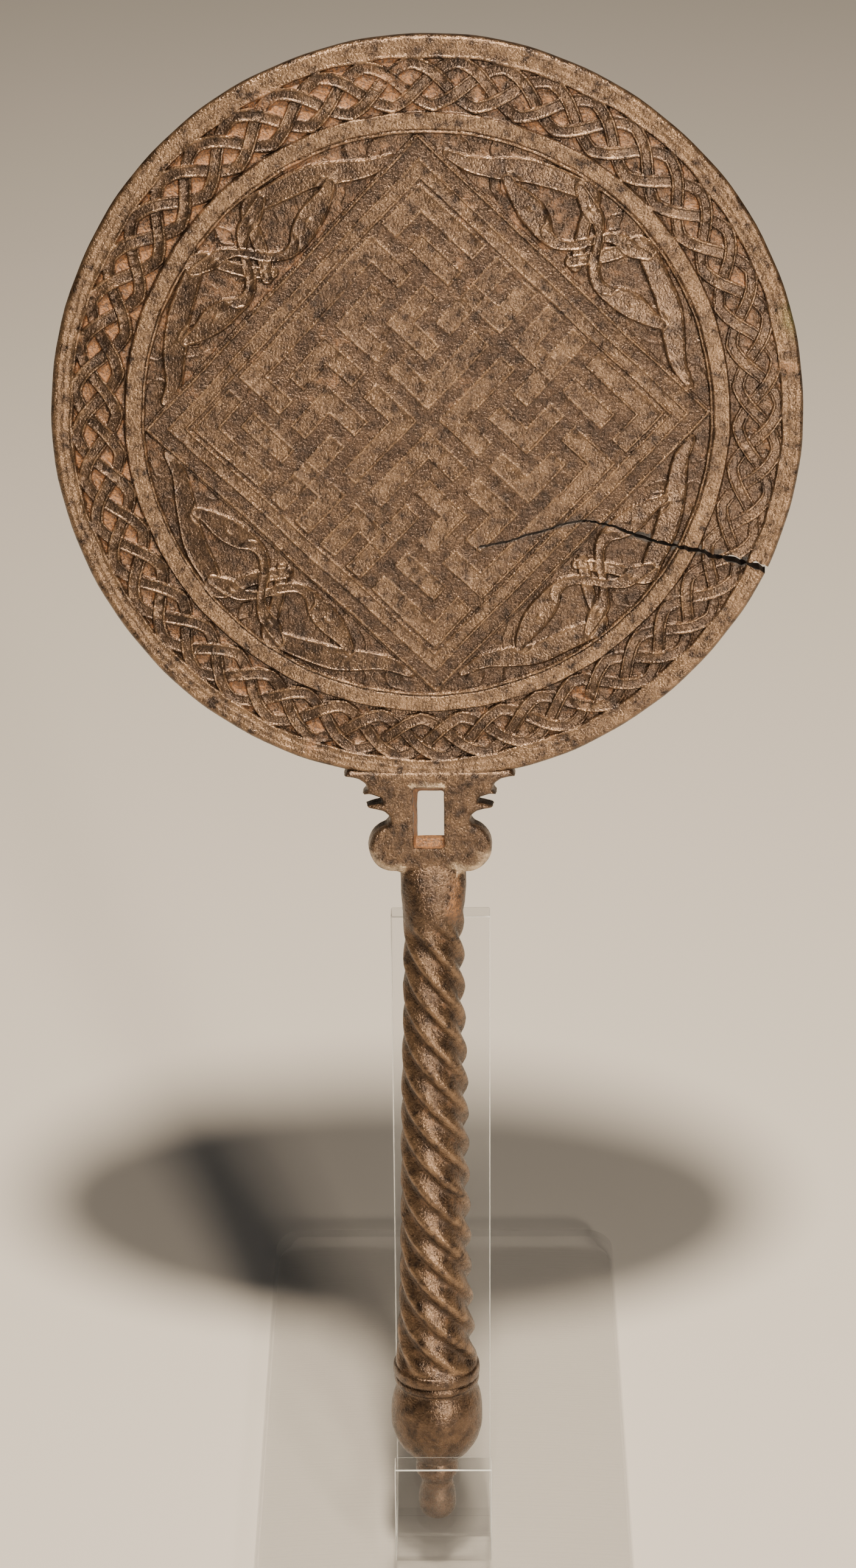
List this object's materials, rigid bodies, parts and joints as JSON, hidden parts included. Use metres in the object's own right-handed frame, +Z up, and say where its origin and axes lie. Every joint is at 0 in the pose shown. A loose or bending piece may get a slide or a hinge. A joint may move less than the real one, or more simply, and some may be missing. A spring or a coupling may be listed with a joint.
{
  "type": "handled bronze mirror",
  "caption": "Round bronze hand mirror with knotwork relief back, rope-fluted handle and ball pommel, standing in a bent clear acrylic cradle on a clear foot",
  "frame": {"origin": "on the floor, under the middle of the whole part's box", "axes": "+Z up, -Y the way the ornamented back of the mirror faces, +X to the right when looking at that face"},
  "size_m": [0.13, 0.11, 0.284],
  "materials": {
    "bronze": "dark brown patina, worn satin on the raised relief, rusty crust in the hollows",
    "acrylic": "clear, polished faces, brighter cut edges"
  },
  "bodies": {
    "root": {"mirror": "bronze", "stand_cradle": "acrylic", "stand_foot": "acrylic"}
  },
  "joints": []
}
